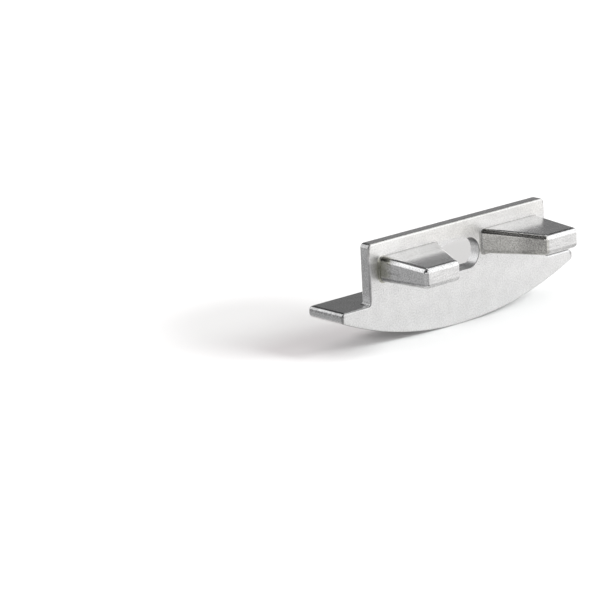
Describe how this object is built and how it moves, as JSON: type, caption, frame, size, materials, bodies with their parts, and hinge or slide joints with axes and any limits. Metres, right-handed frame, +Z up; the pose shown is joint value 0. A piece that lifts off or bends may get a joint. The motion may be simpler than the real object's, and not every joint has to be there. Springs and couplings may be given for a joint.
{
  "type": "profile end cap",
  "caption": "Die-cast metal end cap for an arch-faced profile: arched flange, upright plate with a lead slot, and tapered push-in lugs.",
  "frame": {"origin": "on the mating face, halfway along the cap, level with the flange's ledge", "axes": "+X along the cap, to the right when the lugs face the viewer; +Y from the mating face into the cap, away from the lugs; +Z up, from the arched face towards the plate's top"},
  "size_m": [0.03, 0.0109, 0.0099],
  "materials": {
    "cast_metal": "satin, fine-grained as cast and tumbled"
  },
  "bodies": {
    "root": {"end_cap": "cast_metal"}
  },
  "joints": []
}
